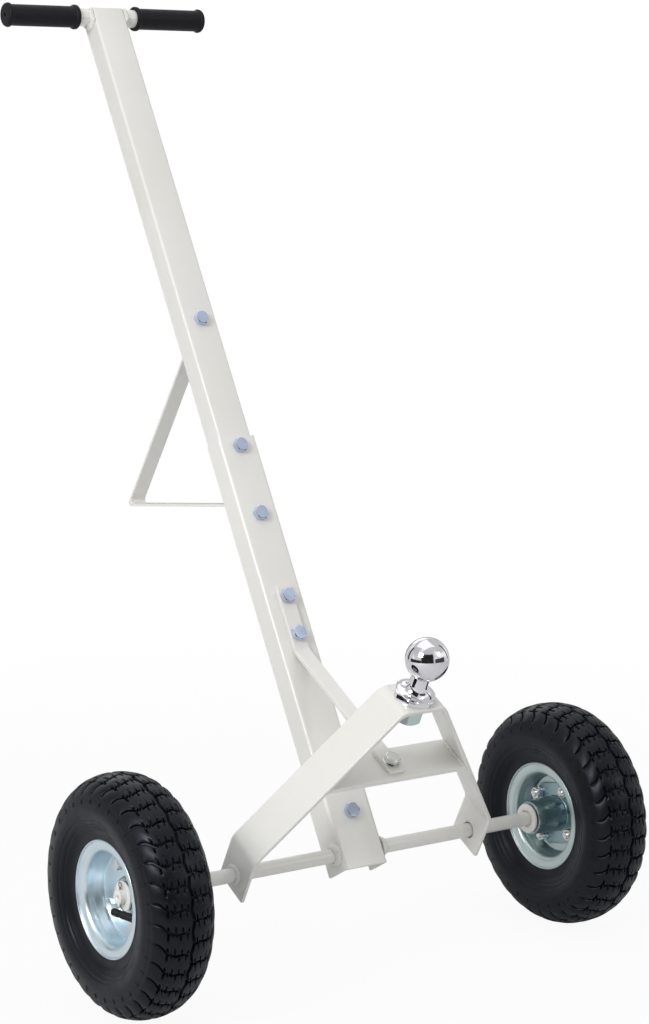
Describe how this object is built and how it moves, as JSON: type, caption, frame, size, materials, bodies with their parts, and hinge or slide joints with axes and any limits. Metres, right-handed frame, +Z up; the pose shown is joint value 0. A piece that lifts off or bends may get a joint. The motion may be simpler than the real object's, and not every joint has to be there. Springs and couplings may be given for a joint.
{
  "type": "trailer dolly",
  "caption": "Two-wheeled hand dolly for moving a trailer: a hitch ball on a bent A-frame over an axle with pneumatic tyres, and a long bolted pull handle with a crossbar and a kickstand.",
  "frame": {"origin": "middle of the bounding box's lowest face, on the floor under the handle", "axes": "+X along the axle to the right, -Y to the front where the hitch ball is, +Z up; the handle leans back towards +Y"},
  "size_m": [0.6634, 0.7134, 1.0794],
  "materials": {
    "frame_paint": "cream powder coat, semi gloss, slight orange peel",
    "tyre_rubber": "black moulded tyre rubber, satin",
    "tube_rubber": "matt black butyl",
    "grip_rubber": "matt black rubber",
    "valve_rubber": "black rubber",
    "seal_rubber": "black rubber",
    "cap_plastic": "black plastic",
    "rim_zinc": "zinc plate with a pale blue green cast, turned and pressed marks",
    "hub_zinc": "zinc plate with a blue green cast",
    "bearing_steel": "ground steel",
    "ball_chrome": "polished chrome plate",
    "nut_zinc": "zinc plate with a green blue cast",
    "bolt_zinc": "bright zinc plate with a blue cast",
    "pin_steel": "dull zinc plated steel"
  },
  "bodies": {
    "chassis": {"a_frame": "frame_paint", "axle": "frame_paint", "axle_bracket": "frame_paint", "axle_collars": "frame_paint", "axle_end_washers": "frame_paint", "axle_welds": "frame_paint", "ball_lock_washer": "nut_zinc", "ball_nut": "nut_zinc", "brace_strap": "frame_paint", "bracket_bolt": "bolt_zinc", "bracket_bolt_nut": "bolt_zinc", "bracket_bolt_washer": "bolt_zinc", "cotter_pins": "pin_steel", "cross_shelf": "frame_paint", "handle_bolt_nuts": "bolt_zinc", "handle_bolt_washers": "bolt_zinc", "handle_bolts": "bolt_zinc", "handlebar": "frame_paint", "handlebar_welds": "frame_paint", "hitch_ball": "ball_chrome", "kickstand": "frame_paint", "left_bearing_inner_races": "bearing_steel", "left_grip": "grip_rubber", "lower_channel": "frame_paint", "right_bearing_inner_races": "bearing_steel", "right_grip": "grip_rubber", "shelf_bolt": "bolt_zinc", "shelf_bolt_nut": "bolt_zinc", "shelf_bolt_washer": "bolt_zinc", "shelf_welds": "frame_paint", "strap_bolt_nuts": "bolt_zinc", "strap_bolt_washers": "bolt_zinc", "strap_bolts": "bolt_zinc", "upper_tube": "frame_paint"},
    "left_wheel": {"left_bearing_balls": "bearing_steel", "left_bearing_outer_races": "bearing_steel", "left_bearing_seals": "seal_rubber", "left_hub": "hub_zinc", "left_inner_tube": "tube_rubber", "left_rim_bolts": "bolt_zinc", "left_rim_inner_half": "rim_zinc", "left_rim_lock_washers": "bolt_zinc", "left_rim_nuts": "bolt_zinc", "left_rim_outer_half": "rim_zinc", "left_tyre": "tyre_rubber", "left_valve_cap": "cap_plastic", "left_valve_stem": "valve_rubber"},
    "right_wheel": {"right_bearing_balls": "bearing_steel", "right_bearing_outer_races": "bearing_steel", "right_bearing_seals": "seal_rubber", "right_hub": "hub_zinc", "right_inner_tube": "tube_rubber", "right_rim_bolts": "bolt_zinc", "right_rim_inner_half": "rim_zinc", "right_rim_lock_washers": "bolt_zinc", "right_rim_nuts": "bolt_zinc", "right_rim_outer_half": "rim_zinc", "right_tyre": "tyre_rubber", "right_valve_cap": "cap_plastic", "right_valve_stem": "valve_rubber"}
  },
  "joints": [
    {"name": "left_wheel_spin", "type": "hinge", "parent": "chassis", "child": "left_wheel", "pos_m": [-0.2922, -0.20455, 0.13], "axis": [1, 0, 0], "continuous": true},
    {"name": "right_wheel_spin", "type": "hinge", "parent": "chassis", "child": "right_wheel", "pos_m": [0.2922, -0.20455, 0.13], "axis": [1, 0, 0], "continuous": true}
  ]
}
